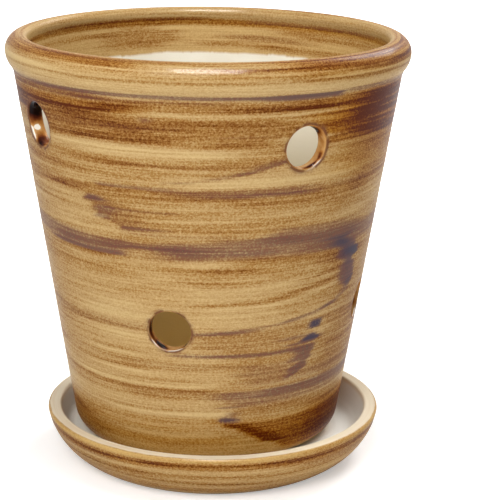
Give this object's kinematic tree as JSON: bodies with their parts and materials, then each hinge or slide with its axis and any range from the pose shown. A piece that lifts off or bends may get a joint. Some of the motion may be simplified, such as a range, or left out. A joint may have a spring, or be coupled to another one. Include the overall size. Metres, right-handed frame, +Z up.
{
  "type": "orchid pot",
  "caption": "Tapered round orchid pot with a rolled rim and round air holes in its wall, standing in a separate drip saucer.",
  "frame": {"origin": "on the table, on the pot's own axis, which is also the middle of the whole part's footprint", "axes": "+Z up along the pot's axis, and the upper air holes face +X, +Y, -X and -Y"},
  "size_m": [0.15, 0.15, 0.1615],
  "materials": {
    "pot_glaze": "glossy brown glaze brushed on in streaks like wood grain, cream glaze inside below the rim",
    "saucer_glaze": "glossy brown glaze brushed on in streaks like wood grain outside, pale cream glaze on the lip and inside"
  },
  "bodies": {
    "saucer": {"saucer": "saucer_glaze"},
    "pot": {"pot": "pot_glaze"}
  },
  "joints": [
    {"name": "pot_lift", "type": "slide", "parent": "saucer", "child": "pot", "axis": [0, 0, 1], "range_m": [0, 0.1]}
  ]
}
